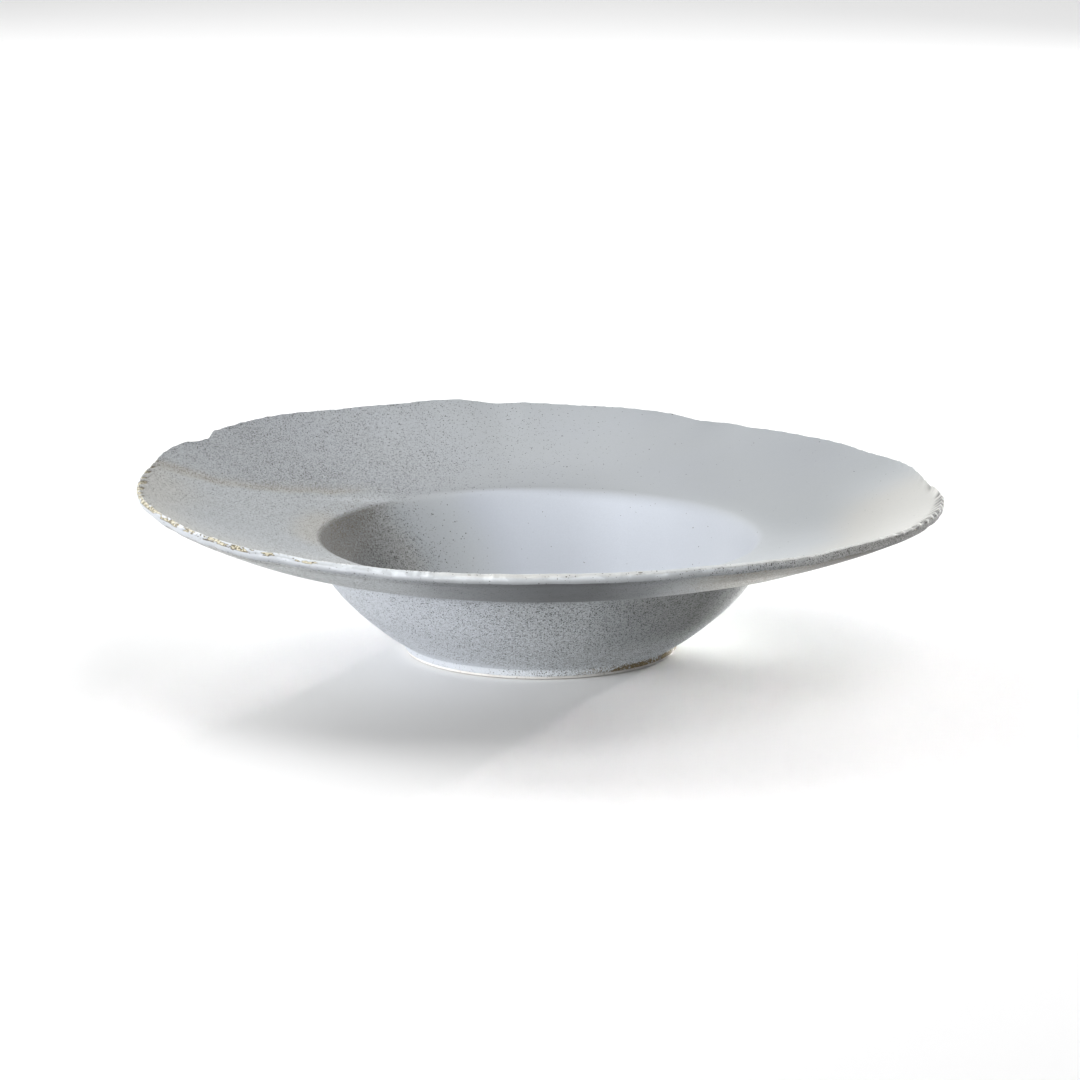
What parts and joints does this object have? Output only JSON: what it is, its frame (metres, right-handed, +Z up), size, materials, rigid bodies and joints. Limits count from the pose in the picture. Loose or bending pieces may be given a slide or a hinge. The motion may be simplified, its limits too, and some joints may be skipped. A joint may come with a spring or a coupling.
{
  "type": "pasta plate",
  "caption": "Round wide-rimmed stoneware pasta plate with a deep well, a dished rim with an irregular torn lip, a speckled grey glaze and a turned foot ring.",
  "frame": {"origin": "on the table, at the centre of the foot ring's standing face", "axes": "+Z up out of the well; the front of the plate, as the picture shows it, faces -Y, and +X is the picture's right"},
  "size_m": [0.2894, 0.2902, 0.0644],
  "materials": {
    "clay": "bare fired stoneware, matt",
    "bare_foot": "bare fired stoneware, ground smooth on the standing face",
    "glaze_upper": "satin cool-grey glaze with fine dark speckle, dense on one side",
    "glaze_edge": "thin satin glaze over a torn edge, breaking to ochre brown",
    "glaze_lower": "satin cool-grey glaze with dense dark speckle",
    "glaze_base": "satin cool-grey glaze with sparse speckle"
  },
  "bodies": {
    "root": {"clay_body": "clay", "foot_ring": "bare_foot", "upper_glaze": "glaze_upper", "edge_glaze": "glaze_edge", "lower_glaze": "glaze_lower", "base_glaze": "glaze_base"}
  },
  "joints": []
}
